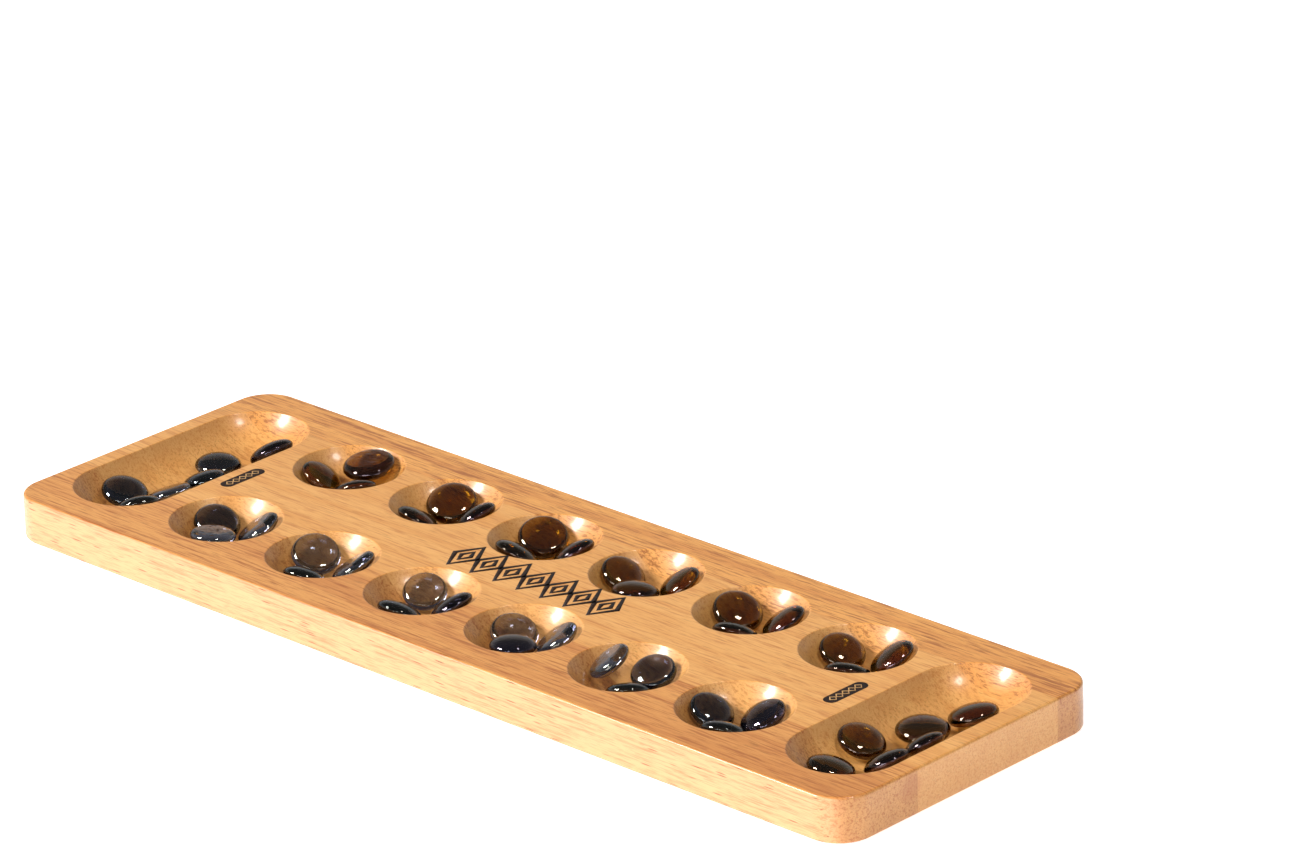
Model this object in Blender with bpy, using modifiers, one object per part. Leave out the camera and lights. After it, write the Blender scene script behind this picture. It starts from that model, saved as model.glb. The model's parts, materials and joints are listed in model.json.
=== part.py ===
"""A mancala board: an edge-glued hardwood slab with two rows of six round pits, a long
store at each end, and forty-eight flat-bottomed glass stones lying in its hollows.

Metres, +Z up. The origin is under the middle of the board, on the surface that it lies on.
+X runs along the board, and the player who sits at -Y owns the near row of pits.
"""

import math

import bmesh
import bpy
from mathutils import Matrix, Vector

MM = 0.001
MERGE_DISTANCE = 0.00001

# The board
BOARD_LENGTH = 0.432
BOARD_WIDTH = 0.139
BOARD_THICKNESS = 0.018
CORNER_RADIUS = 0.0145
EDGE_ROUND = 0.0012
CORNER_SEGMENTS = 6
EDGE_SEGMENTS = 2
EASED_EDGE_ANGLE = math.radians(60)

# The staves that are glued side by side: the two glue lines, measured across the board
NEAR_GLUE_LINE = -0.030
FAR_GLUE_LINE = 0.046
GLUE_GAP = 0.0003

# The hollows: every one is cut with the same round-nosed profile
HOLLOW_RADIUS = 0.022
HOLLOW_DEPTH = 0.012
PITS_IN_ROW = 6
PIT_PITCH = 0.0528
ROW_OFFSET = 0.033
STORE_OFFSET = 0.186
STORE_HALF_RUN = 0.033
LIP_DEPTH = 0.0004
CUTTER_RISE = 0.004
HOLLOW_SEGMENTS = 32
HOLLOW_RINGS = 6

# A glass stone: a flat underside, a rounded rim and a low dome. Each pair is a share of
# the stone's radius and a share of its thickness.
STONE_PROFILE = ((0.0, 1.0), (0.60, 0.92), (0.91, 0.70), (1.0, 0.38), (0.82, 0.0), (0.0, 0.0))
STONE_THICKNESS_RATIO = 0.34
STONE_CENTRE_HEIGHT = 0.45
STONE_SEGMENTS = 16
STONE_EDGE_ANGLE = math.radians(50)
CLEARANCE = 0.0004

# The radius of the bowl's surface. Beyond the rim a wall that climbs this steeply keeps a
# stone from being laid over the lip.
BOWL_RADIUS = (HOLLOW_RADIUS ** 2 + HOLLOW_DEPTH ** 2) / (2 * HOLLOW_DEPTH)
WALL_SLOPE_ABOVE_RIM = 1.5

DOME_UP = False
FLAT_UP = True

# How the stones lie, hollow by hollow. In a pit a stone has the bearing of its place from
# the pit's centre (degrees, 0 along +X), its distance from the centre (mm), its diameter
# (mm) and its upper side. A stone lies square to the bowl, unless its entry ends in a tilt
# and the bearing that its upper side faces (degrees).
PIT_STONES = {
    "near_pit_1": ((158, 10, 18.5, DOME_UP), (38, 12.3, 18.5, FLAT_UP),
                   (-74, 10.3, 18, FLAT_UP, 8, 90)),
    "near_pit_2": ((150, 11.2, 19.3, FLAT_UP), (-85, 10.5, 17.5, DOME_UP),
                   (25, 12.3, 19, FLAT_UP)),
    "near_pit_3": ((130, 11, 17.2, FLAT_UP), (-94, 11, 18, DOME_UP), (14, 12.5, 18, DOME_UP)),
    "near_pit_4": ((157, 9.6, 18.5, FLAT_UP), (38, 12.3, 18, FLAT_UP),
                   (-68, 10.4, 18, DOME_UP, 6, 115)),
    "near_pit_5": ((60, 9.5, 17.5, DOME_UP, 24, -75), (-47, 11, 17.5, DOME_UP),
                   (178, 9.5, 17.5, FLAT_UP, 36, -140)),
    "near_pit_6": ((-178, 11, 17.5, DOME_UP), (-70, 11, 18, DOME_UP), (55, 10, 18.5, DOME_UP)),
    "far_pit_1": ((-152, 11.5, 17, DOME_UP), (-33, 11.8, 17.5, DOME_UP),
                  (85, 9.8, 21, FLAT_UP, 9, 260)),
    "far_pit_2": ((122, 9.5, 20.5, DOME_UP), (-108, 12, 17.5, DOME_UP), (12, 13, 18, DOME_UP)),
    "far_pit_3": ((138, 10.5, 20, FLAT_UP), (-108, 12, 18.5, DOME_UP), (10, 12.7, 18, DOME_UP)),
    "far_pit_4": ((180, 12, 18, DOME_UP), (40, 12, 18, DOME_UP),
                  (-73, 9.8, 18.5, DOME_UP, 12, 105)),
    "far_pit_5": ((160, 10.5, 19.5, DOME_UP), (-77, 11.5, 18, DOME_UP),
                  (32, 12, 18.5, DOME_UP)),
    "far_pit_6": ((165, 10.3, 18, DOME_UP), (-68, 11, 18, DOME_UP), (38, 12.2, 18.8, DOME_UP)),
}

# In a store a stone has its place across and along the store from the store's centre (mm),
# its diameter (mm) and its upper side.
STORE_STONES = {
    "left_store": ((-7, -29.5, 19, DOME_UP), (10, -38, 18, DOME_UP), (8, -19.5, 18, FLAT_UP),
                   (8, -1.5, 17.5, DOME_UP), (-1, 14.5, 18.5, DOME_UP),
                   (12, 31, 18.5, DOME_UP)),
    "right_store": ((-3, -38.5, 18.5, DOME_UP), (-8.5, -16, 18.5, DOME_UP),
                    (11.5, -25.5, 18, DOME_UP), (0, 7, 20.5, DOME_UP), (6.5, 27, 19.5, DOME_UP),
                    (13, -7.5, 16.5, DOME_UP)),
}

WOOD = ("lacquered_wood", (0.72, 0.42, 0.17), 0.35)
SMOKE_GLASS = ("smoke_glass", (0.035, 0.030, 0.045), 0.06)
AMBER_GLASS = ("amber_glass", (0.16, 0.055, 0.012), 0.06)


def clear_scene():
    """Empty the open scene, so that the model stands alone."""
    for item in list(bpy.context.scene.objects):
        bpy.data.objects.remove(item, do_unlink=True)


def new_collection(name):
    """A collection in the scene."""
    collection = bpy.data.collections.new(name)
    bpy.context.scene.collection.children.link(collection)
    return collection


def make_material(name, colour, roughness):
    """A plain material with the part's colour and gloss."""
    material = bpy.data.materials.new(name)
    material.use_nodes = True
    shader = material.node_tree.nodes["Principled BSDF"]
    shader.inputs["Base Color"].default_value = (*colour, 1.0)
    shader.inputs["Roughness"].default_value = roughness
    shader.inputs["Metallic"].default_value = 0.0
    material.diffuse_color = (*colour, 1.0)
    return material


def add_object(name, mesh, collection):
    """Put a mesh in a collection as a named object."""
    item = bpy.data.objects.new(name, mesh)
    collection.objects.link(item)
    return item


def box_mesh(name, low, high):
    """A box between two corners."""
    bpy.ops.mesh.primitive_cube_add(size=1.0)
    box = bpy.context.object
    mesh = box.data
    mesh.name = name
    low, high = Vector(low), Vector(high)
    size = high - low
    mesh.transform(Matrix.Translation((low + high) / 2) @ Matrix.Diagonal((*size, 1.0)))
    bpy.data.objects.remove(box, do_unlink=True)
    return mesh


def slab_mesh():
    """The board's blank, with its four upright edges marked for rounding."""
    half_length, half_width = BOARD_LENGTH / 2, BOARD_WIDTH / 2
    mesh = box_mesh("board_blank", (-half_length, -half_width, 0.0),
                    (half_length, half_width, BOARD_THICKNESS))
    weights = mesh.attributes.new("bevel_weight_edge", "FLOAT", "EDGE")
    for edge in mesh.edges:
        start, end = (mesh.vertices[index].co for index in edge.vertices)
        weights.data[edge.index].value = float(abs(start.z - end.z) > BOARD_THICKNESS / 2)
    return mesh


def turned_mesh(name, profile, segments):
    """Turn an outline of (radius, height) points, top to bottom, into a solid."""
    outline = bpy.data.meshes.new(name)
    points = [(radius, 0.0, height) for radius, height in profile]
    outline.from_pydata(points, [(i, i + 1) for i in range(len(points) - 1)], [])
    lathe = bpy.data.objects.new(name, outline)
    bpy.context.scene.collection.objects.link(lathe)
    screw = lathe.modifiers.new("turn", "SCREW")
    screw.axis = "Z"
    screw.steps = segments
    screw.render_steps = segments
    screw.use_merge_vertices = True
    screw.merge_threshold = MERGE_DISTANCE
    depsgraph = bpy.context.evaluated_depsgraph_get()
    mesh = bpy.data.meshes.new_from_object(lathe.evaluated_get(depsgraph))
    bpy.data.objects.remove(lathe, do_unlink=True)
    bpy.data.meshes.remove(outline)
    mesh.name = name
    return mesh


def bowl_floor(distance):
    """Height of a hollow's surface below the board's top, at a distance from its middle."""
    if distance > HOLLOW_RADIUS:
        return (distance - HOLLOW_RADIUS) * WALL_SLOPE_ABOVE_RIM
    return BOWL_RADIUS - HOLLOW_DEPTH - math.sqrt(BOWL_RADIUS ** 2 - distance ** 2)


def bowl_profile():
    """The cutter that makes a hollow: a round nose under a short upright lip."""
    rim_angle = math.asin(HOLLOW_RADIUS / BOWL_RADIUS)
    points = [(0.0, CUTTER_RISE), (HOLLOW_RADIUS, CUTTER_RISE), (HOLLOW_RADIUS, -LIP_DEPTH)]
    for ring in range(HOLLOW_RINGS - 1, 0, -1):
        radius = BOWL_RADIUS * math.sin(rim_angle * ring / HOLLOW_RINGS)
        points.append((radius, bowl_floor(radius)))
    points.append((0.0, -HOLLOW_DEPTH))
    return points


def add_cutter(name, mesh, place, collection):
    """A cutter is seen as a wire and never rendered."""
    cutter = add_object(name, mesh, collection)
    cutter.location = place
    cutter.hide_render = True
    cutter.display_type = "WIRE"
    return cutter


def store_mesh(bowl):
    """A store is half a bowl, drawn out to the middle of the board and mirrored there."""
    shape = bmesh.new()
    shape.from_mesh(bowl)
    everything = shape.verts[:] + shape.edges[:] + shape.faces[:]
    bmesh.ops.bisect_plane(shape, geom=everything, dist=MERGE_DISTANCE,
                           plane_co=(0, 0, 0), plane_no=(0, 1, 0), clear_inner=True)
    bmesh.ops.translate(shape, verts=shape.verts, vec=(0, STORE_HALF_RUN, 0))
    open_edges = [edge for edge in shape.edges if edge.is_boundary]
    drawn = bmesh.ops.extrude_edge_only(shape, edges=open_edges)["geom"]
    for item in drawn:
        if isinstance(item, bmesh.types.BMVert):
            item.co.y = 0.0
    everything = shape.verts[:] + shape.edges[:] + shape.faces[:]
    bmesh.ops.mirror(shape, geom=everything, axis="Y", merge_dist=MERGE_DISTANCE)
    bmesh.ops.remove_doubles(shape, verts=shape.verts, dist=MERGE_DISTANCE)
    bmesh.ops.recalc_face_normals(shape, faces=shape.faces)
    mesh = bpy.data.meshes.new("store_cutter")
    shape.to_mesh(mesh)
    shape.free()
    return mesh


def pit_centres():
    """The pits' names and the middles of their rims."""
    centres = {}
    for row, across in (("near", -ROW_OFFSET), ("far", ROW_OFFSET)):
        for number in range(PITS_IN_ROW):
            along = (number - (PITS_IN_ROW - 1) / 2) * PIT_PITCH
            centres[f"{row}_pit_{number + 1}"] = Vector((along, across, BOARD_THICKNESS))
    return centres


def store_centres():
    """The stores' names and the middles of their rims."""
    return {"left_store": Vector((-STORE_OFFSET, 0.0, BOARD_THICKNESS)),
            "right_store": Vector((STORE_OFFSET, 0.0, BOARD_THICKNESS))}


def make_hollow_cutters(collection):
    """One cutter for each pit and each store."""
    bowl = turned_mesh("bowl_cutter", bowl_profile(), HOLLOW_SEGMENTS)
    for name, centre in pit_centres().items():
        add_cutter(f"{name}_cutter", bowl, centre, collection)
    trough = store_mesh(bowl)
    for name, centre in store_centres().items():
        add_cutter(f"{name}_cutter", trough, centre, collection)


def add_rounding(stave, name, width, segments):
    """A bevel whose width and segments are the same in every view."""
    rounding = stave.modifiers.new(name, "BEVEL")
    rounding.width = width
    rounding.segments = segments
    return rounding


def make_stave(name, blank, near_edge, far_edge, hollows, bands, board, wood):
    """One stave: the slice of the rounded blank between two glue lines, with its hollows."""
    stave = add_object(name, blank.copy(), board)
    corners = add_rounding(stave, "upright_corners", CORNER_RADIUS, CORNER_SEGMENTS)
    corners.limit_method = "WEIGHT"
    edges = add_rounding(stave, "eased_edges", EDGE_ROUND, EDGE_SEGMENTS)
    edges.limit_method = "ANGLE"
    edges.angle_limit = EASED_EDGE_ANGLE
    reach = BOARD_LENGTH
    band_mesh = box_mesh(f"{name}_band", (-reach, near_edge, -reach), (reach, far_edge, reach))
    band = add_cutter(f"{name}_band", band_mesh, (0, 0, 0), bands)
    between_glue_lines = stave.modifiers.new("between_glue_lines", "BOOLEAN")
    between_glue_lines.operation = "INTERSECT"
    between_glue_lines.solver = "EXACT"
    between_glue_lines.object = band
    routing = stave.modifiers.new("pits_and_stores", "BOOLEAN")
    routing.operation = "DIFFERENCE"
    routing.solver = "EXACT"
    routing.operand_type = "COLLECTION"
    routing.collection = hollows
    stave.data.materials.append(wood)
    return stave


def make_board(board, hollows, bands, wood):
    """The three staves, glued side by side."""
    blank = slab_mesh()
    beyond = BOARD_WIDTH
    half_gap = GLUE_GAP / 2
    make_stave("near_stave", blank, -beyond, NEAR_GLUE_LINE - half_gap,
               hollows, bands, board, wood)
    make_stave("middle_stave", blank, NEAR_GLUE_LINE + half_gap, FAR_GLUE_LINE - half_gap,
               hollows, bands, board, wood)
    make_stave("far_stave", blank, FAR_GLUE_LINE + half_gap, beyond,
               hollows, bands, board, wood)


def stone_mesh(diameter, meshes):
    """A glass stone about its own middle, dome up. Stones of one size share a mesh."""
    if diameter not in meshes:
        radius = diameter / 2
        thickness = diameter * STONE_THICKNESS_RATIO
        profile = [(across * radius, (up - STONE_CENTRE_HEIGHT) * thickness)
                   for across, up in STONE_PROFILE]
        mesh = turned_mesh(f"stone_{diameter / MM:.1f}_mm", profile, STONE_SEGMENTS)
        mesh.shade_smooth()
        mesh.set_sharp_from_angle(angle=STONE_EDGE_ANGLE)
        meshes[diameter] = mesh
    return meshes[diameter]


def stone_turn(tilt, facing, flat_up):
    """The turn that tips a stone's upper side by a tilt, to face a bearing."""
    turn = Matrix.Rotation(facing, 3, "Z") @ Matrix.Rotation(tilt, 3, "Y")
    if flat_up:
        turn = turn @ Matrix.Rotation(math.pi, 3, "X")
    return turn


def height_in_hollow(points, half_run):
    """The lowest height at which every point is clear of a hollow's wall and floor.

    The points are around the hollow's middle in plan, and have their own heights."""
    heights = []
    for point in points:
        past_run = point.y - max(-half_run, min(half_run, point.y))
        heights.append(bowl_floor(math.hypot(point.x, past_run)) - point.z)
    return max(heights)


def lay_stone(name, place, details, hollow, half_run, meshes, glass, board):
    """Lower one stone into a hollow until it touches the wood.

    The details are its diameter, its upper side and, where it leans, how it leans."""
    diameter, flat_up, *lean = details
    past_run = place.y - max(-half_run, min(half_run, place.y))
    if lean:
        tilt, facing = (math.radians(angle) for angle in lean)
    else:
        tilt = math.asin(math.hypot(place.x, past_run) / HOLLOW_RADIUS)
        facing = math.atan2(-past_run, -place.x)
    mesh = stone_mesh(diameter * MM, meshes)
    turn = stone_turn(tilt, facing, flat_up)
    grown = [turn @ (vertex.co + vertex.normal * CLEARANCE) + place for vertex in mesh.vertices]
    stone = add_object(name, mesh, board)
    stone.location = hollow + place + Vector((0, 0, height_in_hollow(grown, half_run)))
    stone.rotation_euler = turn.to_euler()
    if not mesh.materials:
        mesh.materials.append(glass)
    stone.material_slots[0].link = "OBJECT"
    stone.material_slots[0].material = glass


def make_stones(board, smoke, amber):
    """Three stones in each pit, and six in each store."""
    meshes = {}
    pits = pit_centres()
    for hollow_name, stones in PIT_STONES.items():
        glass = smoke if hollow_name.startswith("near") else amber
        for number, (bearing, distance, *details) in enumerate(stones, start=1):
            angle = math.radians(bearing)
            place = Vector((math.cos(angle), math.sin(angle), 0.0)) * distance * MM
            lay_stone(f"{hollow_name}_stone_{number}", place, details, pits[hollow_name], 0.0,
                      meshes, glass, board)
    stores = store_centres()
    for hollow_name, stones in STORE_STONES.items():
        glass = smoke if hollow_name.startswith("left") else amber
        for number, (across, along, *details) in enumerate(stones, start=1):
            place = Vector((across, along, 0.0)) * MM
            lay_stone(f"{hollow_name}_stone_{number}", place, details, stores[hollow_name],
                      STORE_HALF_RUN, meshes, glass, board)


def main():
    """Build the board and lay its stones."""
    clear_scene()
    board = new_collection("mancala_board")
    hollows = new_collection("hollow_cutters")
    bands = new_collection("stave_bands")
    make_hollow_cutters(hollows)
    make_board(board, hollows, bands, make_material(*WOOD))
    make_stones(board, make_material(*SMOKE_GLASS), make_material(*AMBER_GLASS))


main()
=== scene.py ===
# %% [markdown]
# # A mancala board with glass stones
#
# The real thing is three pieces of pale hardwood glued side by side into a slab, with two rows
# of round pits and two long stores routed into it, a coat of clear lacquer, and glass stones.
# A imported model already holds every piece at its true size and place, and says what moves.
# This script gives those pieces their looks: finer wood, round glass, printing and light.

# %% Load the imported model
import json
import math

import bmesh
import bpy
import numpy as np
from mathutils import Euler, Matrix, Vector


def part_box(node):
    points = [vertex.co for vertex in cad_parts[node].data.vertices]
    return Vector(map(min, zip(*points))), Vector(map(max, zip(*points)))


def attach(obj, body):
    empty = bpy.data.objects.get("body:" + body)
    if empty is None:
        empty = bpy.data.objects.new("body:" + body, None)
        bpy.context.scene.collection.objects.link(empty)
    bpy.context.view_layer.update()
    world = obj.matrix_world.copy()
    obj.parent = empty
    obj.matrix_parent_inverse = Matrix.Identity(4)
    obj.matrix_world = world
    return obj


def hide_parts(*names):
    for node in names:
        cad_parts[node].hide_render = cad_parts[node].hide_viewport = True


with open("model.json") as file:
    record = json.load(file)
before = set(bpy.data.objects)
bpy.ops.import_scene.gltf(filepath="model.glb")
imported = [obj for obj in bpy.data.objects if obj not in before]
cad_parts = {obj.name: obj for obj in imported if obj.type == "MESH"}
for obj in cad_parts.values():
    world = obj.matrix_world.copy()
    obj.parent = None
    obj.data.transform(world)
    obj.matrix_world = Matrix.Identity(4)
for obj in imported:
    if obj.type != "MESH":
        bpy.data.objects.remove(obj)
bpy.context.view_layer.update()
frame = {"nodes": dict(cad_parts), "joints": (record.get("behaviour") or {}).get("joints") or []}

MM = 0.001

# %% [markdown]
# ## The camera
#
# A long lens from well back keeps the board's edges almost parallel, as catalogue pictures do.
# The camera could be placed by eye, but a direction, a distance and the point it aims at say
# the same thing in five numbers that can be changed one at a time. It looks from the near
# right, a quarter turn round and well above the table, and is held a little off level.

# %% Set up the camera
CAMERA_DISTANCE = 2.6283
CAMERA_AZIMUTH = math.radians(44.892)
CAMERA_ELEVATION = math.radians(24.092)
CAMERA_ROLL = math.radians(-1.553)
AIM_POINT = Vector((-0.0955, 0.1638, 0.0))
LENS_MM = 194.58


def direction(azimuth, elevation):
    """A unit vector: azimuth 0 is towards the near player and grows towards +X."""
    return Vector((math.sin(azimuth) * math.cos(elevation),
                   -math.cos(azimuth) * math.cos(elevation), math.sin(elevation)))


def looking(place, target, roll=0.0):
    """The matrix that puts something at a place, facing a target down its own -Z."""
    ahead = (target - place).normalized()
    right = ahead.cross(Vector((0, 0, 1))).normalized()
    above = right.cross(ahead)
    across = right * math.cos(roll) + above * math.sin(roll)
    upward = above * math.cos(roll) - right * math.sin(roll)
    turn = Matrix((across, upward, -ahead)).transposed().to_4x4()
    return Matrix.Translation(place) @ turn


camera = bpy.data.objects.new("camera", bpy.data.cameras.new("camera"))
camera.data.sensor_width = 36.0
camera.data.lens = LENS_MM
camera.data.clip_end = 20.0
camera.matrix_world = looking(direction(CAMERA_AZIMUTH, CAMERA_ELEVATION) * CAMERA_DISTANCE,
                              AIM_POINT, CAMERA_ROLL)
bpy.context.scene.collection.objects.link(camera)
bpy.context.scene.camera = camera
print("the camera stands at", [round(part, 3) for part in camera.location])

# %% [markdown]
# ## Node trees as expressions
#
# Materials and Geometry Nodes are both graphs. Wiring them by hand takes three lines a node and
# hides the sum behind them. A small class that holds one output socket, and adds a Math node
# for each operator, lets `1 - mask * 0.5` be written as it reads.


# %% A socket that can be added and multiplied
class Wire:
    """One output socket of a node tree, with the arithmetic that makes new ones."""

    def __init__(self, tree, socket):
        self.tree = tree
        self.socket = socket

    def node(self, kind, settings, sockets, output=0):
        """Add a node: its settings first, then values or wires for its sockets."""
        made = self.tree.nodes.new(kind)
        for name, value in settings.items():
            setattr(made, name, value)
        for name, value in sockets.items():
            for source in value if isinstance(value, list) else [value]:
                if isinstance(source, Wire):
                    self.tree.links.new(source.socket, made.inputs[name])
                else:
                    made.inputs[name].default_value = source
        return Wire(self.tree, made.outputs[output])

    def maths(self, operation, *values):
        """A Math node on these values, in order."""
        return self.node("ShaderNodeMath", {"operation": operation}, dict(enumerate(values)))

    def __add__(self, other):
        return self.maths("ADD", self, other)

    __radd__ = __add__

    def __sub__(self, other):
        return self.maths("SUBTRACT", self, other)

    def __rsub__(self, other):
        return self.maths("SUBTRACT", other, self)

    def __mul__(self, other):
        return self.maths("MULTIPLY", self, other)

    __rmul__ = __mul__

    def __truediv__(self, other):
        return self.maths("DIVIDE", self, other)

    def __pow__(self, other):
        return self.maths("POWER", self, other)


def new_material(name, shader_settings):
    """A material with a Principled shader. Returns it, its shader and its Object coordinates."""
    material = bpy.data.materials.new(name)
    material.use_nodes = True
    tree = material.node_tree
    shader = tree.nodes["Principled BSDF"]
    for socket, value in shader_settings.items():
        shader.inputs[socket].default_value = value
    place = tree.nodes.new("ShaderNodeTexCoord").outputs["Object"]
    return material, shader, Wire(tree, place)


def feed(shader, **wires):
    """Plug wires into a shader's sockets, with _ for a space in the socket's name."""
    for name, wire in wires.items():
        wire.tree.links.new(wire.socket, shader.inputs[name.replace("_", " ")])


# %% [markdown]
# ## Wood as a solid
#
# Grain isn't a picture on the faces. It is a bundle of fibres that runs through the whole
# stave, so the top shows streaks and the ends show dots, and a pit cuts across both. A wrapped
# image would get the ends and the pits wrong. Noise in three dimensions, stretched many times
# along the fibres, gets all of them right at once, because each face shows its own slice.
#
# Broad bands are the years' growth, thin streaks, lines and hairs are the fibres, and short dark
# vessels are the pores of the wood: long dashes on a side and pinpricks on an end. The sides get a
# paler, creamier colour with fainter streaks, which is painted light, as if the front lamps lit
# them. The ends get a deeper colour, partly the end grain's own tone and partly painted shade.
# The way that a face looks picks that side or end colour. A small stain marks the right end.

# %% The wood of one stave
FIBRE_STRETCH = 20.0
PORE_STRETCH = 11.0
FIBRE_TILT = math.radians(0.6)
BAND_SCALE = 0.10
STREAK_SCALE = 1.0
LINE_SCALE = 0.42
HAIR_SCALE = 3.4
PORE_SCALE = 0.95
VESSEL_BROWN = (0.22, 0.085, 0.016)
STAIN_PLACE = (0.216, -0.033, 0.012)
STAIN_RADIUS = 7.5 * MM
STAIN_WANDER = 8 * MM


def smooth_step(value, low, high):
    """0 below low, 1 above high and a smooth curve between."""
    return value.node("ShaderNodeMapRange", {"interpolation_type": "SMOOTHSTEP"},
                      {"Value": value, "From Min": low, "From Max": high})


def mixed(share, first, second, blend="MIX"):
    """Two colours mixed by a share."""
    return share.node("ShaderNodeMix", {"data_type": "RGBA", "blend_type": blend},
                      {0: share, 6: first, 7: second}, output=2)


def along_fibres(place, stretch, shift, slope):
    """Coordinates in millimetres, squeezed along the fibres, which run almost along X."""
    return place.node("ShaderNodeMapping", {}, {
        "Vector": place, "Location": shift, "Rotation": (0.0, FIBRE_TILT, slope),
        "Scale": (1 / MM / stretch, 1 / MM, 1 / MM)})


def noise(where, scale, detail, roughness, distortion=0.0):
    """Cloudy noise between about 0.3 and 0.7."""
    return where.node("ShaderNodeTexNoise", {}, {
        "Vector": where, "Scale": scale, "Detail": detail, "Roughness": roughness,
        "Distortion": distortion})


def facing(place, axis):
    """How far a face looks along an axis, on either side: 0 across it, 1 straight along it."""
    normal = Wire(place.tree, place.socket.node.outputs["Normal"])
    part = place.node("ShaderNodeSeparateXYZ", {}, {0: normal}, output=axis)
    return part.maths("ABSOLUTE", part)


def wood_material(name, pale, deep, streak, side, end, shift, slope, depths):
    """Lacquered hardwood with its fibres along X, cut from its own place in the log."""
    material, shader, place = new_material(name, {
        "Roughness": 0.42, "Coat Weight": 0.45, "Coat Roughness": 0.15, "Coat IOR": 1.5})
    fibre = along_fibres(place, FIBRE_STRETCH, shift, slope)
    bands = noise(fibre, BAND_SCALE, 3.0, 0.55, 0.6)
    streaks = noise(fibre, STREAK_SCALE, 5.0, 0.66, 0.2)
    lines = noise(fibre, LINE_SCALE, 4.0, 0.7, 0.3)
    hairs = noise(fibre, HAIR_SCALE, 2.0, 0.5)
    vessels = along_fibres(place, PORE_STRETCH, shift, slope)
    cells = vessels.node("ShaderNodeTexVoronoi", {"feature": "F1"}, {
        "Vector": vessels, "Scale": PORE_SCALE, "Randomness": 1.0})
    colours = Wire(place.tree, cells.socket.node.outputs["Color"])
    chance = cells.node("ShaderNodeSeparateColor", {}, {0: colours})
    pores = (1 - smooth_step(cells, 0.12, 0.30)) * smooth_step(chance, 0.45, 0.60)
    # The side and end shares pick the painted-light side colour and the partly painted-shade end
    # colour, and set how strongly some grain shows.
    side_for_painted_light_and_grain = smooth_step(facing(place, 1), 0.55, 0.95)
    end_for_painted_shade_grain_and_stain = smooth_step(facing(place, 0), 0.45, 0.90)
    wood = mixed(smooth_step(bands, 0.36, 0.66) * depths["band"], (*pale, 1.0), (*deep, 1.0))
    # Painted light: the sides are mixed towards a paler, creamier colour, as if lit from the front.
    wood = mixed(side_for_painted_light_and_grain * 0.85, wood, (*side, 1.0))
    # Partly painted shade: the ends are mixed towards a deeper colour, partly the end grain's own
    # tone.
    wood = mixed(end_for_painted_shade_grain_and_stain * 0.7, wood, (*end, 1.0))
    grain = smooth_step(streaks, 0.48, 0.66) * depths["streak"] * (1 - side_for_painted_light_and_grain * 0.45)
    wood = mixed(grain, wood, (*streak, 1.0))
    wood = mixed(smooth_step(lines, 0.56, 0.66) * depths["line"] * (1 - side_for_painted_light_and_grain * 0.5), wood,
                 (*streak, 1.0))
    wood = mixed(smooth_step(hairs, 0.48, 0.70) * (0.38 + end_for_painted_shade_grain_and_stain * 0.25), wood, (*streak, 1.0))
    wood = mixed(pores * depths["pore"] * (0.5 + side_for_painted_light_and_grain * 0.5), wood, (*VESSEL_BROWN, 1.0))
    away = place.node("ShaderNodeVectorMath", {"operation": "DISTANCE"}, {
        0: place, 1: STAIN_PLACE}, output=1)
    ragged = away + (bands - 0.5) * STAIN_WANDER
    stain = 1 - smooth_step(ragged, 0.25 * STAIN_RADIUS, STAIN_RADIUS)
    wood = mixed(stain * end_for_painted_shade_grain_and_stain * 0.55, wood, (*streak, 1.0))
    relief = place.node("ShaderNodeBump", {}, {
        "Strength": 0.25, "Distance": 0.05 * MM, "Height": 1 - pores * 0.6 - streaks * 0.4})
    feed(shader, Base_Color=wood, Roughness=0.34 + streaks * 0.14, Normal=relief)
    return material


# Each stave's side colour is paler than its top, which is painted light, and its end colour is
# deeper, partly painted shade.
near_wood = wood_material(
    "near_stave_lacquered_wood", pale=(0.72, 0.325, 0.085), deep=(0.58, 0.22, 0.05),
    streak=(0.38, 0.115, 0.022), side=(0.78, 0.365, 0.165), end=(0.50, 0.25, 0.075),
    shift=(3.0, 7.0, 2.0), slope=math.radians(0.15),
    depths={"band": 0.85, "streak": 0.95, "line": 0.85, "pore": 0.95})
middle_wood = wood_material(
    "middle_stave_lacquered_wood", pale=(0.79, 0.40, 0.12), deep=(0.71, 0.32, 0.08),
    streak=(0.50, 0.18, 0.04), side=(0.77, 0.45, 0.18), end=(0.56, 0.285, 0.085),
    shift=(21.0, 40.0, 11.0), slope=math.radians(-0.1),
    depths={"band": 0.85, "streak": 0.8, "line": 0.35, "pore": 0.75})
far_wood = wood_material(
    "far_stave_lacquered_wood", pale=(0.80, 0.37, 0.092), deep=(0.67, 0.27, 0.062),
    streak=(0.36, 0.115, 0.026), side=(0.78, 0.365, 0.165), end=(0.42, 0.19, 0.058),
    shift=(55.0, -13.0, 31.0), slope=math.radians(0.2),
    depths={"band": 0.85, "streak": 0.95, "line": 0.9, "pore": 0.85})
print("wood:", near_wood.name, middle_wood.name, far_wood.name)

# %% [markdown]
# ## The blank
#
# The slab is planed, its corners are rounded on a bandsaw and its edges eased with a small
# round-over bit. Bevelling a box in that order, upright edges first, gives the same form.

# %% Plane, round and ease the blank
board_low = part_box("near_stave")[0]
board_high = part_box("far_stave")[1]
board_length = board_high.x - board_low.x
board_width = board_high.y - board_low.y
board_top = board_high.z
CORNER_RADIUS = 14.5 * MM
EDGE_ROUND = 1.2 * MM
CORNER_SEGMENTS = 20
EDGE_SEGMENTS = 5


def bevel(shape, edges, radius, segments):
    """Round these edges of a bmesh."""
    bmesh.ops.bevel(shape, geom=edges, offset=radius, offset_type="OFFSET", segments=segments,
                    profile=0.5, affect="EDGES", clamp_overlap=False)


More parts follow.
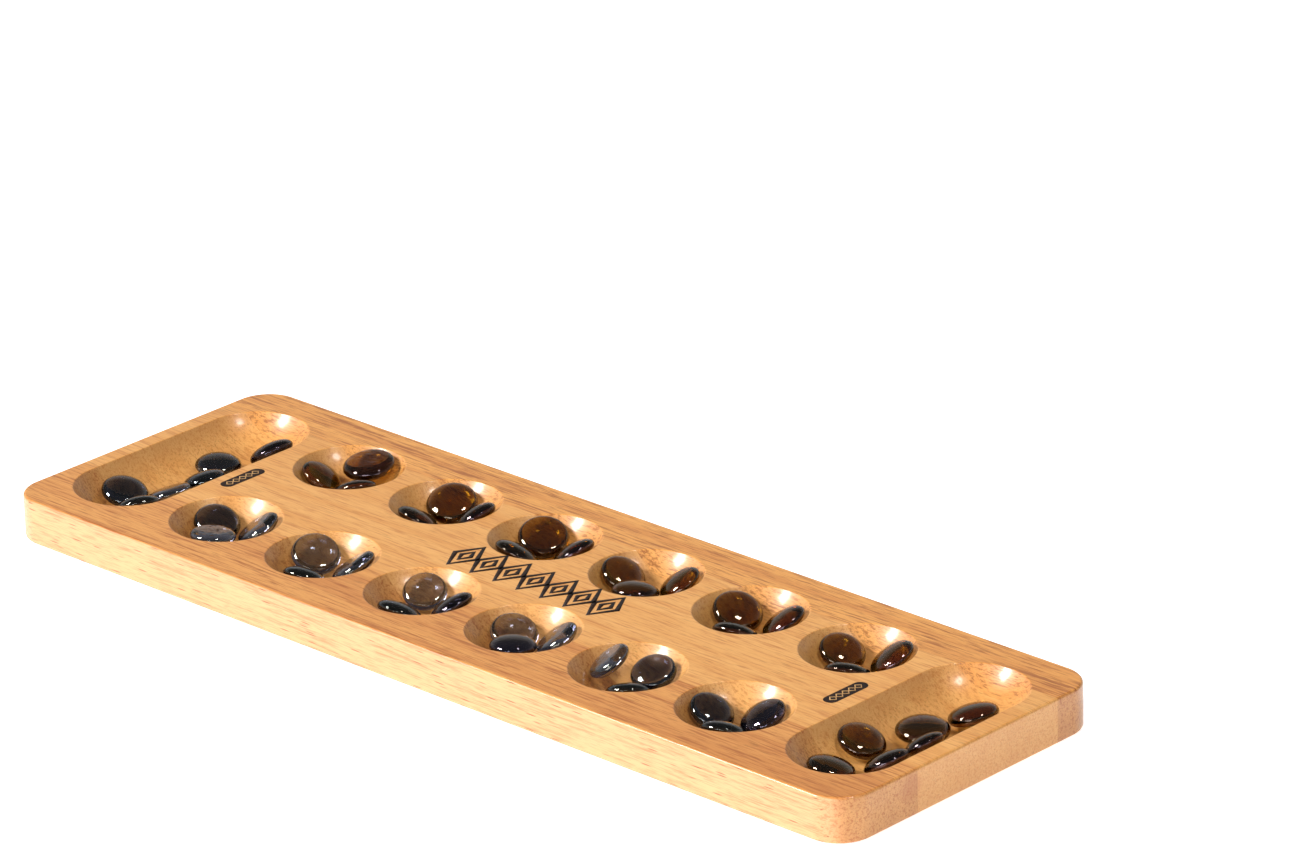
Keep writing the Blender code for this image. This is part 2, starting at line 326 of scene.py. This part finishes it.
def make_blank():
    """The board before anything is routed out of it."""
    shape = bmesh.new()
    bmesh.ops.create_cube(shape, size=1.0)
    bmesh.ops.scale(shape, verts=shape.verts, vec=(board_length, board_width, board_top))
    bmesh.ops.translate(shape, verts=shape.verts, vec=(0, 0, board_top / 2))
    upright = [edge for edge in shape.edges
               if abs(edge.verts[0].co.z - edge.verts[1].co.z) > board_top / 2]
    bevel(shape, upright, CORNER_RADIUS, CORNER_SEGMENTS)
    rims = [edge for edge in shape.edges
            if abs(edge.verts[0].co.z - edge.verts[1].co.z) < board_top / 2]
    bevel(shape, rims, EDGE_ROUND, EDGE_SEGMENTS)
    mesh = bpy.data.meshes.new("board_blank")
    shape.to_mesh(mesh)
    shape.free()
    return mesh


blank_mesh = make_blank()
print("the blank has", len(blank_mesh.polygons), "faces")

# %% [markdown]
# ## The hollows
#
# A core-box bit, whose nose is part of a ball, makes every hollow. A pit is one plunge, and a
# store is the same bit run along a line. So one turned cutter serves: as it is for the pits,
# and drawn apart in the middle for the stores. Its outline flares where it meets the top, which
# leaves the lip softly rounded, as sanding does. The two arcs meet without a kink because the
# little circle of the lip is set to touch the ball.

# %% Turn the cutters
HOLLOW_RADIUS = 22 * MM
HOLLOW_DEPTH = 12 * MM
LIP_ROUND = 0.7 * MM
STORE_HALF_RUN = 33 * MM
CUTTER_RISE = 4 * MM
HOLLOW_SEGMENTS = 96
BOWL_RINGS = 20
LIP_RINGS = 5


def cutter_outline():
    """(radius, height above the board's top) from the cutter's upper rim to its nose."""
    ball = (HOLLOW_RADIUS ** 2 + HOLLOW_DEPTH ** 2) / (2 * HOLLOW_DEPTH)
    ball_height = ball - HOLLOW_DEPTH
    lip_centre = math.sqrt((ball + LIP_ROUND) ** 2 - (ball_height + LIP_ROUND) ** 2)
    wall_angle = math.asin(lip_centre / (ball + LIP_ROUND))
    points = [(lip_centre, CUTTER_RISE)]
    for ring in range(LIP_RINGS):
        angle = wall_angle * ring / LIP_RINGS
        points.append((lip_centre - LIP_ROUND * math.sin(angle),
                       LIP_ROUND * (math.cos(angle) - 1)))
    for ring in range(BOWL_RINGS, -1, -1):
        angle = wall_angle * ring / BOWL_RINGS
        points.append((ball * math.sin(angle), ball_height - ball * math.cos(angle)))
    return points


def turned(outline):
    """Turn an outline round the Z axis into a closed bmesh. Its last point is on the axis."""
    shape = bmesh.new()
    corners = [shape.verts.new((radius, 0, height)) for radius, height in outline]
    edges = [shape.edges.new(pair) for pair in zip(corners, corners[1:])]
    bmesh.ops.spin(shape, geom=corners + edges, cent=(0, 0, 0), axis=(0, 0, 1),
                   angle=math.tau, steps=HOLLOW_SEGMENTS, use_merge=True)
    bmesh.ops.remove_doubles(shape, verts=shape.verts, dist=0.001 * MM)
    bmesh.ops.holes_fill(shape, edges=[edge for edge in shape.edges if edge.is_boundary])
    bmesh.ops.recalc_face_normals(shape, faces=shape.faces)
    return shape


def drawn_apart(shape, half_run):
    """Keep half of a turned shape, draw it away from the middle along Y, and mirror it."""
    bmesh.ops.bisect_plane(shape, geom=shape.verts[:] + shape.edges[:] + shape.faces[:],
                           dist=0.001 * MM, plane_co=(0, 0, 0), plane_no=(0, 1, 0),
                           clear_inner=True)
    bmesh.ops.translate(shape, verts=shape.verts, vec=(0, half_run, 0))
    open_edges = [edge for edge in shape.edges if edge.is_boundary]
    drawn = bmesh.ops.extrude_edge_only(shape, edges=open_edges)["geom"]
    for item in drawn:
        if isinstance(item, bmesh.types.BMVert):
            item.co.y = 0.0
    bmesh.ops.mirror(shape, geom=shape.verts[:] + shape.edges[:] + shape.faces[:],
                     axis="Y", merge_dist=0.01 * MM)
    bmesh.ops.remove_doubles(shape, verts=shape.verts, dist=0.001 * MM)
    bmesh.ops.recalc_face_normals(shape, faces=shape.faces)
    return shape


def tool_object(name, shape):
    """An object that node trees read, which is in no collection and so never shows."""
    mesh = bpy.data.meshes.new(name)
    shape.to_mesh(mesh)
    shape.free()
    return bpy.data.objects.new(name, mesh)


pit_cutter = tool_object("pit_cutter", turned(cutter_outline()))
store_cutter = tool_object("store_cutter", drawn_apart(turned(cutter_outline()), STORE_HALF_RUN))
print("cutters:", len(pit_cutter.data.polygons), "and", len(store_cutter.data.polygons), "faces")

# %% [markdown]
# ## Routing with Geometry Nodes
#
# Twelve pits stand on a grid and two stores at the ends of a line, so two primitives give their
# places, and Instance on Points puts a cutter on each. One Mesh Boolean then takes all of them
# out of the blank. The same tree slices one stave out of the board, and is used three times
# with other glue lines. The alternative, fourteen modifiers on each stave, says the same thing
# with nothing in it that can be changed in one place.


# %% Helpers for a Geometry Nodes tree
def new_tree(name, inputs):
    """A tree with named inputs. Returns it and a wire for each input."""
    tree = bpy.data.node_groups.new(name, "GeometryNodeTree")
    tree.interface.new_socket("Geometry", in_out="INPUT", socket_type="NodeSocketGeometry")
    for label, kind in inputs.items():
        tree.interface.new_socket(label, in_out="INPUT", socket_type=f"NodeSocket{kind}")
    tree.interface.new_socket("Geometry", in_out="OUTPUT", socket_type="NodeSocketGeometry")
    entry = tree.nodes.new("NodeGroupInput")
    return tree, {socket.name: Wire(tree, socket) for socket in entry.outputs if socket.name}


def end_tree(wire, material):
    """Realize what a tree made, give it its material and send it out."""
    solid = wire.node("GeometryNodeRealizeInstances", {}, {"Geometry": wire})
    solid = wire.node("GeometryNodeSetMaterial", {}, {"Geometry": solid, "Material": material})
    out = wire.tree.nodes.new("NodeGroupOutput")
    wire.tree.links.new(solid.socket, out.inputs["Geometry"])


def grown(name, tree, values, start_mesh=None):
    """Run a tree once with these values and return what it makes as a plain mesh."""
    item = bpy.data.objects.new(name, start_mesh or bpy.data.meshes.new(name))
    bpy.context.scene.collection.objects.link(item)
    modifier = item.modifiers.new("tree", "NODES")
    modifier.node_group = tree
    for socket in tree.interface.items_tree:
        if socket.in_out == "INPUT" and socket.name in values:
            modifier[socket.identifier] = values[socket.name]
    depsgraph = bpy.context.evaluated_depsgraph_get()
    mesh = bpy.data.meshes.new_from_object(item.evaluated_get(depsgraph))
    bpy.data.objects.remove(item, do_unlink=True)
    mesh.name = name
    return mesh


# %% The tree that routes one stave
def routing_tree():
    """Slice a stave out of the blank and take the pits and stores out of it."""
    tree, given = new_tree("routed_stave", {
        "Near edge": "Float", "Far edge": "Float", "Top": "Float", "Length": "Float",
        "Pits in a row": "Int", "Pit pitch": "Float", "Row offset": "Float",
        "Store offset": "Float", "Pit cutter": "Object", "Store cutter": "Object",
        "Wood": "Material"})
    blank = given["Geometry"]
    width = given["Far edge"] - given["Near edge"]
    size = blank.node("ShaderNodeCombineXYZ", {}, {
        "X": given["Length"] * 2, "Y": width, "Z": given["Top"] * 4})
    box = blank.node("GeometryNodeMeshCube", {}, {"Size": size})
    middle = blank.node("ShaderNodeCombineXYZ", {}, {
        "Y": (given["Far edge"] + given["Near edge"]) * 0.5})
    box = blank.node("GeometryNodeTransform", {}, {"Geometry": box, "Translation": middle})
    slice_ = blank.node("GeometryNodeMeshBoolean", {"operation": "INTERSECT", "solver": "EXACT"},
                        {"Mesh 2": [blank, box]})
    pits = blank.node("GeometryNodeMeshGrid", {}, {
        "Size X": given["Pit pitch"] * (given["Pits in a row"] - 1),
        "Size Y": given["Row offset"] * 2, "Vertices X": given["Pits in a row"],
        "Vertices Y": 2})
    stores = blank.node("GeometryNodeMeshLine", {"mode": "END_POINTS"}, {
        "Count": 2,
        "Start Location": blank.node("ShaderNodeCombineXYZ", {}, {"X": given["Store offset"] * -1}),
        "Offset": blank.node("ShaderNodeCombineXYZ", {}, {"X": given["Store offset"]})})
    cutters = []
    for places, tool in ((pits, "Pit cutter"), (stores, "Store cutter")):
        shape = blank.node("GeometryNodeObjectInfo", {}, {"Object": given[tool]}, output=4)
        cutters.append(blank.node("GeometryNodeInstanceOnPoints", {}, {
            "Points": places, "Instance": shape}))
    cutters = blank.node("GeometryNodeJoinGeometry", {}, {"Geometry": cutters})
    cutters = blank.node("GeometryNodeTransform", {}, {
        "Geometry": cutters,
        "Translation": blank.node("ShaderNodeCombineXYZ", {}, {"Z": given["Top"]})})
    routed = blank.node("GeometryNodeMeshBoolean",
                        {"operation": "DIFFERENCE", "solver": "EXACT"},
                        {"Mesh 1": slice_, "Mesh 2": cutters})
    end_tree(routed, given["Wood"])
    return tree


stave_tree = routing_tree()
print("the routing tree has", len(stave_tree.nodes), "nodes")


# %% Rout the three staves
PITS_IN_ROW = 6
PIT_PITCH = 52.8 * MM
ROW_OFFSET = 33 * MM
STORE_OFFSET = 186 * MM
near_glue_line = (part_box("near_stave")[1].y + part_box("middle_stave")[0].y) / 2
far_glue_line = (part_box("middle_stave")[1].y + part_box("far_stave")[0].y) / 2
SHARP_EDGE = math.radians(35)


def finished(name, mesh, body):
    """A piece with its place in its mesh, which moves with a body."""
    piece = bpy.data.objects.new(name, mesh)
    bpy.context.scene.collection.objects.link(piece)
    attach(piece, body)
    return piece


def evened(mesh):
    """Let wide faces set the shading of their corners, so that a flat top stays flat."""
    mesh.shade_smooth()
    mesh.set_sharp_from_angle(angle=SHARP_EDGE)
    item = bpy.data.objects.new(mesh.name, mesh)
    bpy.context.scene.collection.objects.link(item)
    weighted = item.modifiers.new("weighted", "WEIGHTED_NORMAL")
    weighted.keep_sharp = True
    weighted.weight = 100
    depsgraph = bpy.context.evaluated_depsgraph_get()
    result = bpy.data.meshes.new_from_object(item.evaluated_get(depsgraph))
    bpy.data.objects.remove(item, do_unlink=True)
    return result


def rout_stave(node, tree, near_edge, far_edge, wood):
    """One stave of lacquered wood in place of its plain solid."""
    mesh = grown(f"{node}_wood", tree, {
        "Near edge": near_edge, "Far edge": far_edge, "Top": board_top,
        "Length": board_length, "Pits in a row": PITS_IN_ROW, "Pit pitch": PIT_PITCH,
        "Row offset": ROW_OFFSET, "Store offset": STORE_OFFSET, "Pit cutter": pit_cutter,
        "Store cutter": store_cutter, "Wood": wood}, blank_mesh)
    stave = finished(f"{node}_wood", evened(mesh), "board")
    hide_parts(node)
    print(stave.name, len(stave.data.polygons), "faces")
    return stave


rout_stave("near_stave", stave_tree, -board_width, near_glue_line, near_wood)
rout_stave("middle_stave", stave_tree, near_glue_line, far_glue_line, middle_wood)
rout_stave("far_stave", stave_tree, far_glue_line, board_width, far_wood)

# %% [markdown]
# ## Printing
#
# The mark in the middle of the board and the badges beside the stores are printed in one dark
# ink. Here they are plain geometry: a chain of nested lozenges, and pills with small pale
# lozenges in them. Each is a film of ink with a real thickness, so it stays crisp at any
# distance, which an image on the wood wouldn't. A lozenge is a circle of four corners that is
# squeezed in one direction, a strip of ink swept along it gives a line of even width, and
# instances along a line of points repeat it.

# %% The inks
INK_HEIGHT = 0.05 * MM
INK_LIFT = 0.005 * MM


def ink_material(name, full, worn):
    """Matt ink, worn a little along the grain."""
    material, shader, place = new_material(name, {"Roughness": 0.5, "Specular IOR Level": 0.2})
    wear = noise(along_fibres(place, 8.0, (0.0, 0.0, 0.0), 0.0), 1.2, 3.0, 0.6)
    feed(shader, Base_Color=mixed(smooth_step(wear, 0.40, 0.75), (*full, 1.0), (*worn, 1.0)))
    return material


dark_ink = ink_material("dark_ink", (0.012, 0.007, 0.006), (0.040, 0.018, 0.010))
pale_ink = ink_material("pale_ink", (0.62, 0.36, 0.15), (0.50, 0.27, 0.10))
print("inks:", dark_ink.name, pale_ink.name)


# %% Trees for a chain of lozenges and for a pill
def lozenge_tree():
    """A row of outlined lozenges, about its middle."""
    tree, given = new_tree("lozenge_chain", {
        "Count": "Int", "First": "Vector", "Step": "Vector", "Width": "Float",
        "Height": "Float", "Line": "Float", "Ink height": "Float", "Ink": "Material"})
    start = given["Geometry"]
    corners = start.node("GeometryNodeCurvePrimitiveCircle", {"mode": "RADIUS"}, {
        "Resolution": 4, "Radius": 0.5})
    squeeze = start.node("ShaderNodeCombineXYZ", {}, {
        "X": given["Width"], "Y": given["Height"], "Z": 1.0})
    outline = start.node("GeometryNodeTransform", {}, {"Geometry": corners, "Scale": squeeze})
    outline = start.node("GeometryNodeSetCurveNormal", {"mode": "Z_UP"}, {"Curve": outline})
    strip = start.node("GeometryNodeCurvePrimitiveQuadrilateral", {"mode": "RECTANGLE"}, {
        "Width": given["Line"], "Height": given["Ink height"]})
    lozenge = start.node("GeometryNodeCurveToMesh", {}, {
        "Curve": outline, "Profile Curve": strip, "Fill Caps": False})
    row = start.node("GeometryNodeMeshLine", {"mode": "OFFSET"}, {
        "Count": given["Count"], "Start Location": given["First"], "Offset": given["Step"]})
    chain = start.node("GeometryNodeInstanceOnPoints", {}, {"Points": row, "Instance": lozenge})
    end_tree(chain, given["Ink"])
    return tree


def pill_tree():
    """A flat pill with its long side along Y."""
    tree, given = new_tree("pill", {
        "Width": "Float", "Length": "Float", "Ink height": "Float", "Place": "Vector",
        "Ink": "Material"})
    start = given["Geometry"]
    half = given["Width"] * 0.5
    run = given["Length"] * 0.5 - half
    outline = start.node("GeometryNodeMeshCylinder", {"fill_type": "NGON"}, {
        "Vertices": 32, "Radius": half, "Depth": given["Ink height"]})
    where = start.node("GeometryNodeInputPosition", {}, {})
    y = start.node("ShaderNodeSeparateXYZ", {}, {"Vector": where}, output=1)
    side = y.maths("SIGN", y + 1e-6)
    apart = start.node("ShaderNodeCombineXYZ", {}, {"Y": side * run})
    pill = start.node("GeometryNodeSetPosition", {}, {"Geometry": outline, "Offset": apart})
    pill = start.node("GeometryNodeTransform", {}, {
        "Geometry": pill, "Translation": given["Place"]})
    end_tree(pill, given["Ink"])
    return tree


lozenges = lozenge_tree()
pills = pill_tree()
print("printing trees:", len(lozenges.nodes), "and", len(pills.nodes), "nodes")


# %% Print the ornament and the pills
def printed(name, tree, values):
    """A film of ink that moves with the board."""
    mesh = grown(name, tree, values | {"Ink height": INK_HEIGHT})
    print_ = finished(name, mesh, "board")
    return print_


def chain(name, tree, middle, step, count, width, height, line, ink):
    """A printed row of lozenges about its middle."""
    first = middle - step * (count - 1) / 2
    return printed(name, tree, {"Count": count, "First": first, "Step": step, "Width": width,
                                "Height": height, "Line": line, "Ink": ink})


LOZENGES = 7
ORNAMENT_PITCH = 12.1 * MM
ink_level = board_top + INK_LIFT + INK_HEIGHT / 2
ornament_middle = Vector((-0.3 * MM, 0.8 * MM, ink_level))
ornament_step = Vector((ORNAMENT_PITCH, 0, 0))
chain("ornament_outer_lozenges", lozenges, ornament_middle, ornament_step, LOZENGES,
      11.4 * MM, 19.4 * MM, 2.4 * MM, dark_ink)
chain("ornament_inner_lozenges", lozenges, ornament_middle, ornament_step, LOZENGES,
      4.6 * MM, 8.4 * MM, 2.2 * MM, dark_ink)

PILL_WIDTH = 6.0 * MM
PILL_LENGTH = 21.5 * MM
PILL_LOZENGES = 5
PILL_LOZENGE_WIDTH = 3.2 * MM
PILL_LOZENGE_STEP = Vector((0, 3.4 * MM, 0))
PILL_LOZENGE_LINE = 0.55 * MM
PILL_PLACES = (("left", -156.3 * MM, -1.1 * MM), ("right", 154.5 * MM, 1.1 * MM))
for side_name, along, across in PILL_PLACES:
    pill_middle = Vector((along, across, ink_level))
    printed(f"{side_name}_pill", pills, {
        "Width": PILL_WIDTH, "Length": PILL_LENGTH, "Place": pill_middle, "Ink": dark_ink})
    chain(f"{side_name}_pill_lozenges", lozenges, pill_middle + Vector((0, 0, INK_HEIGHT * 1.1)),
          PILL_LOZENGE_STEP, PILL_LOZENGES, PILL_LOZENGE_WIDTH, PILL_LOZENGE_WIDTH,
          PILL_LOZENGE_LINE, pale_ink)
print("printed:", LOZENGES, "pairs of lozenges and 2 pills")

# %% [markdown]
# ## Glass
#
# The stones are dark glass with a thin metal-oxide bloom that shines blue to violet. A dark
# paint would be quicker, but it can't show the wood glowing through a thin edge. So the surface
# is clear glass with a thin film, and the colour is in the body: an absorbing volume, which is
# deeper where the stone is thicker. Each colour comes in a few thicknesses of film, as no two
# stones from one kiln match. Smoke stones that lie flat side up look milkier than the rest, so
# they get a paler copy of the smoke glass with a less deep colour: that is painted light, for
# the light that shines through a flat stone onto the wood below.

# %% Smoke and amber glass
SMOKE_FILMS_NM = (62.0, 95.0, 170.0)
AMBER_FILMS_NM = (125.0, 140.0, 160.0)
SMOKE_BODY = (0.66, 0.66, 0.70)
AMBER_BODY = (0.71, 0.58, 0.04)
SMOKE_DENSITY = 760.0
# A less deep smoke for stones that lie flat side up, which is painted light.
PAINTED_LIGHT_SMOKE_DENSITY = 320.0
AMBER_DENSITY = 520.0
SMEAR_SCALE = 260.0


def glass_material(name, body_colour, density, film_nm):
    """Polished glass with its colour in the volume and a thin film on its surface."""
    material, shader, place = new_material(name, {
        "Base Color": (1.0, 1.0, 1.0, 1.0), "Transmission Weight": 1.0, "IOR": 1.52,
        "Thin Film Thickness": film_nm, "Thin Film IOR": 1.64})
    smears = noise(place, SMEAR_SCALE, 2.0, 0.5)
    feed(shader, Roughness=smears * 0.05 + 0.01)
    depth = smears.node("ShaderNodeVolumeAbsorption", {}, {
        "Color": (*body_colour, 1.0), "Density": density})
    ending = material.node_tree.nodes["Material Output"]
    material.node_tree.links.new(depth.socket, ending.inputs["Volume"])
    return material


smoke_glasses = [glass_material(f"smoke_glass_{number}", SMOKE_BODY, SMOKE_DENSITY, film)
                 for number, film in enumerate(SMOKE_FILMS_NM, start=1)]
thin_smoke_glass = glass_material("thin_smoke_glass", SMOKE_BODY, PAINTED_LIGHT_SMOKE_DENSITY,
                                  SMOKE_FILMS_NM[1])
amber_glasses = [glass_material(f"amber_glass_{number}", AMBER_BODY, AMBER_DENSITY, film)
                 for number, film in enumerate(AMBER_FILMS_NM, start=1)]
print("glass:", [glass.name for glass in smoke_glasses + [thin_smoke_glass] + amber_glasses])

# %% [markdown]
# ## The stones
#
# A stone like this is a gob of hot glass dropped on a cool plate. It sets with a flat underside,
# a fat rim and a low dome, and it is never quite round. The underside keeps faint ripples where
# it chilled. One tree makes them all: a ball's points are moved to the stone's own outline,
# which two powers describe, and noise with a seed gives each its own wobble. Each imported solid
# already says where its stone lies, which way is up and how wide it is, so those are measured.

# %% Measure a packed stone
RIM_SHARE = 0.38


def read_stone(node):
    """The middle of a stone's rim, the way its dome faces, its radius and its thickness."""
    mesh = frame["nodes"][node].data
    points = np.array([vertex.co for vertex in mesh.vertices])
    faces = np.array([polygon.vertices for polygon in mesh.polygons])
    a, b, c = (points[faces[:, corner]] for corner in range(3))
    crosses = np.cross(b - a, c - a)
    areas = np.linalg.norm(crosses, axis=1)
    normals = crosses / np.maximum(areas, 1e-15)[:, None]
    shared = (normals @ normals.T > 0.9999) @ areas
    dome = -normals[np.argmax(shared)]
    heights = points @ dome
    apex = points[np.argmax(heights)]
    thickness = heights.max() - heights.min()
    middle = apex - dome * thickness * (1 - RIM_SHARE)
    spokes = points - middle
    radius = np.linalg.norm(spokes - np.outer(spokes @ dome, dome), axis=1).max()
    return Vector(middle), Vector(dome), float(radius), float(thickness)


stone_nodes = [joint["child"] for joint in frame["joints"]]
widths = [2 * read_stone(node)[2] / MM for node in stone_nodes]
print(len(widths), "stones,", round(min(widths), 1), "to", round(max(widths), 1), "mm across")


# %% The tree that makes a stone
DOME_POWER = 2.1
BASE_REACH_POWER = 6.0
BASE_ROOT = 1.6
RIPPLE_PHASE = 38.0


def stone_tree():
    """A glass stone about the middle of its rim, turned and moved to its place."""
    tree, given = new_tree("glass_stone", {
        "Radius": "Float", "Thickness": "Float", "Rim share": "Float", "Segments": "Int",
        "Rings": "Int", "Seed": "Float", "Wobble": "Float", "Ripple": "Float",
        "Turn": "Vector", "Place": "Vector", "Glass": "Material"})
    start = given["Geometry"]
    ball = start.node("GeometryNodeMeshUVSphere", {}, {
        "Segments": given["Segments"], "Rings": given["Rings"], "Radius": 1.0})
    where = start.node("GeometryNodeInputPosition", {}, {})
    parts = start.node("ShaderNodeSeparateXYZ", {}, {"Vector": where})
    x, y, z = (Wire(tree, socket) for socket in parts.socket.node.outputs)
    reach = (x * x + y * y) ** 0.5
    reach = reach.maths("MINIMUM", reach, 1.0)
    dome = (1 - reach ** DOME_POWER) ** (1 / DOME_POWER) * (1 - given["Rim share"])
    base = (1 - reach ** BASE_REACH_POWER) ** (1 / BASE_ROOT) * given["Rim share"] * -1
    is_dome = z.maths("GREATER_THAN", z, 0.0)
    height = (dome * is_dome + base * (1 - is_dome)) * given["Thickness"]
    drift = start.node("ShaderNodeTexNoise", {"noise_dimensions": "4D"}, {
        "Vector": where, "W": given["Seed"], "Scale": 0.9, "Detail": 1.0})
    round_ = 1 - drift * given["Wobble"]
    chill = start.node("ShaderNodeTexNoise", {"noise_dimensions": "4D"}, {
        "Vector": where, "W": given["Seed"] + 5.0, "Scale": 2.1, "Detail": 1.0,
        "Distortion": 1.4})
    waves = chill.maths("SINE", chill * RIPPLE_PHASE)
    inner = (1 - reach ** 4.0) * (1 - is_dome)
    height = height + waves * inner * given["Ripple"]
    place = start.node("ShaderNodeCombineXYZ", {}, {
        "X": x * given["Radius"] * round_, "Y": y * given["Radius"] * round_, "Z": height})
    stone = start.node("GeometryNodeSetPosition", {}, {"Geometry": ball, "Position": place})
    stone = start.node("GeometryNodeTransform", {}, {
        "Geometry": stone, "Rotation": given["Turn"], "Translation": given["Place"]})
    end_tree(stone, given["Glass"])
    return tree


glass_stone = stone_tree()
print("the stone tree has", len(glass_stone.nodes), "nodes")


# %% Set the stones
SEGMENTS = 48
RINGS = 32
RIPPLED_RINGS = 56
WOBBLE = 0.035
TURN_STEP = 2.4
SLIGHT_RIPPLE = 0.015 * MM
RIPPLES = {"near_pit_1_stone_3": 0.10 * MM, "near_pit_4_stone_1": 0.10 * MM,
           "far_pit_1_stone_3": 0.12 * MM, "near_pit_5_stone_3": 0.06 * MM}


def set_stone(node, number, tree):
    """One glass stone in place of its plain solid."""
    middle, dome, radius, thickness = read_stone(node)
    turn = dome.to_track_quat("Z", "Y") @ Euler((0, 0, number * TURN_STEP)).to_quaternion()
    is_smoke = node.startswith(("near_pit", "left_store"))
    glasses = smoke_glasses if is_smoke else amber_glasses
    glass = glasses[number % len(glasses)]
    # Smoke stones that lie flat side up take the paler copy of the glass, which is painted light.
    if is_smoke and dome.z < 0:
        glass = thin_smoke_glass
    ripple = RIPPLES.get(node, SLIGHT_RIPPLE)
    mesh = grown(f"{node}_glass", tree, {
        "Radius": radius, "Thickness": thickness, "Rim share": RIM_SHARE,
        "Segments": SEGMENTS, "Rings": RIPPLED_RINGS if node in RIPPLES else RINGS,
        "Seed": float(number), "Wobble": WOBBLE, "Ripple": ripple,
        "Turn": turn.to_euler(), "Place": middle, "Glass": glass})
    mesh.shade_smooth()
    stone = finished(f"{node}_glass", mesh, node)
    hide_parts(node)
    return stone


stones = [set_stone(node, number, glass_stone) for number, node in enumerate(stone_nodes)]
print(len(stones), "stones,", len(stones[0].data.polygons), "faces each")

# %% [markdown]
# ## Floor and light
#
# The board lies on a white table that glows a little, which washes most shadows out. A large
# softbox to the left does most of the work: it lights the far walls of the pits, leaves the near
# walls in shade and puts a highlight in each. A second one low in front lifts the long side, a
# small lamp high on the right gives the stones their second glint, and a faint one fills the
# right end. The sky is brighter at the horizon than overhead, so that tilted glass picks up a
# pale edge while flat glass stays dark. One even sky would be simpler, but dulls every stone.

# %% Lay the floor
FLOOR_SIZE = 8.0
FLOOR_GLOW = 0.60


def pale_floor():
    """A white tabletop with a faint glow."""
    material, shader, place = new_material("white_table", {
        "Roughness": 0.6, "Emission Color": (1.0, 1.0, 1.0, 1.0), "Emission Strength": FLOOR_GLOW})
    cloud = place.node("ShaderNodeTexNoise", {}, {"Vector": place, "Scale": 3.0})
    feed(shader, Base_Color=mixed(cloud, (0.86, 0.86, 0.86, 1.0), (0.90, 0.90, 0.90, 1.0)))
    shape = bmesh.new()
    bmesh.ops.create_grid(shape, x_segments=1, y_segments=1, size=FLOOR_SIZE / 2)
    mesh = bpy.data.meshes.new("table")
    shape.to_mesh(mesh)
    shape.free()
    mesh.materials.append(material)
    table = bpy.data.objects.new("table", mesh)
    bpy.context.scene.collection.objects.link(table)


pale_floor()
print("the table is", FLOOR_SIZE, "m square")


# %% Hang the lamps
def softbox(name, towards, distance, size, watts):
    """A square soft lamp that faces the board from a direction. Lengths are in metres."""
    data = bpy.data.lights.new(name, "AREA")
    data.size = size
    data.energy = watts
    lamp = bpy.data.objects.new(name, data)
    lamp.matrix_world = looking(Vector(towards).normalized() * distance, Vector((0, 0, 0)))
    bpy.context.scene.collection.objects.link(lamp)


softbox("key_softbox", towards=(-0.49, -0.59, 0.64), distance=3.2, size=0.90, watts=116.0)
softbox("front_softbox", towards=(0.35, -0.90, 0.25), distance=2.0, size=1.10, watts=18.0)
softbox("right_lamp", towards=(0.47, 0.0, 0.88), distance=1.8, size=0.30, watts=9.0)
softbox("end_fill", towards=(0.95, -0.25, 0.30), distance=1.6, size=0.70, watts=2.0)

# %% Light the sky
HORIZON_GLOW = 0.50
ZENITH_GLOW = 0.12
HORIZON_TOP = 0.20
ZENITH_BOTTOM = 0.65
world = bpy.data.worlds.new("studio")
world.use_nodes = True
sky = world.node_tree
outward = Wire(sky, sky.nodes.new("ShaderNodeTexCoord").outputs["Generated"])
height = outward.node("ShaderNodeSeparateXYZ", {}, {0: outward}, output=2)
climb = smooth_step(height, HORIZON_TOP, ZENITH_BOTTOM)
glow = HORIZON_GLOW - climb * (HORIZON_GLOW - ZENITH_GLOW)
feed(sky.nodes["Background"], Strength=glow)
sky.nodes["Background"].inputs["Color"].default_value = (1.0, 1.0, 1.0, 1.0)
bpy.context.scene.world = world
bpy.context.scene.view_settings.view_transform = "Standard"
print("the sky glows", HORIZON_GLOW, "at the horizon and", ZENITH_GLOW, "overhead")
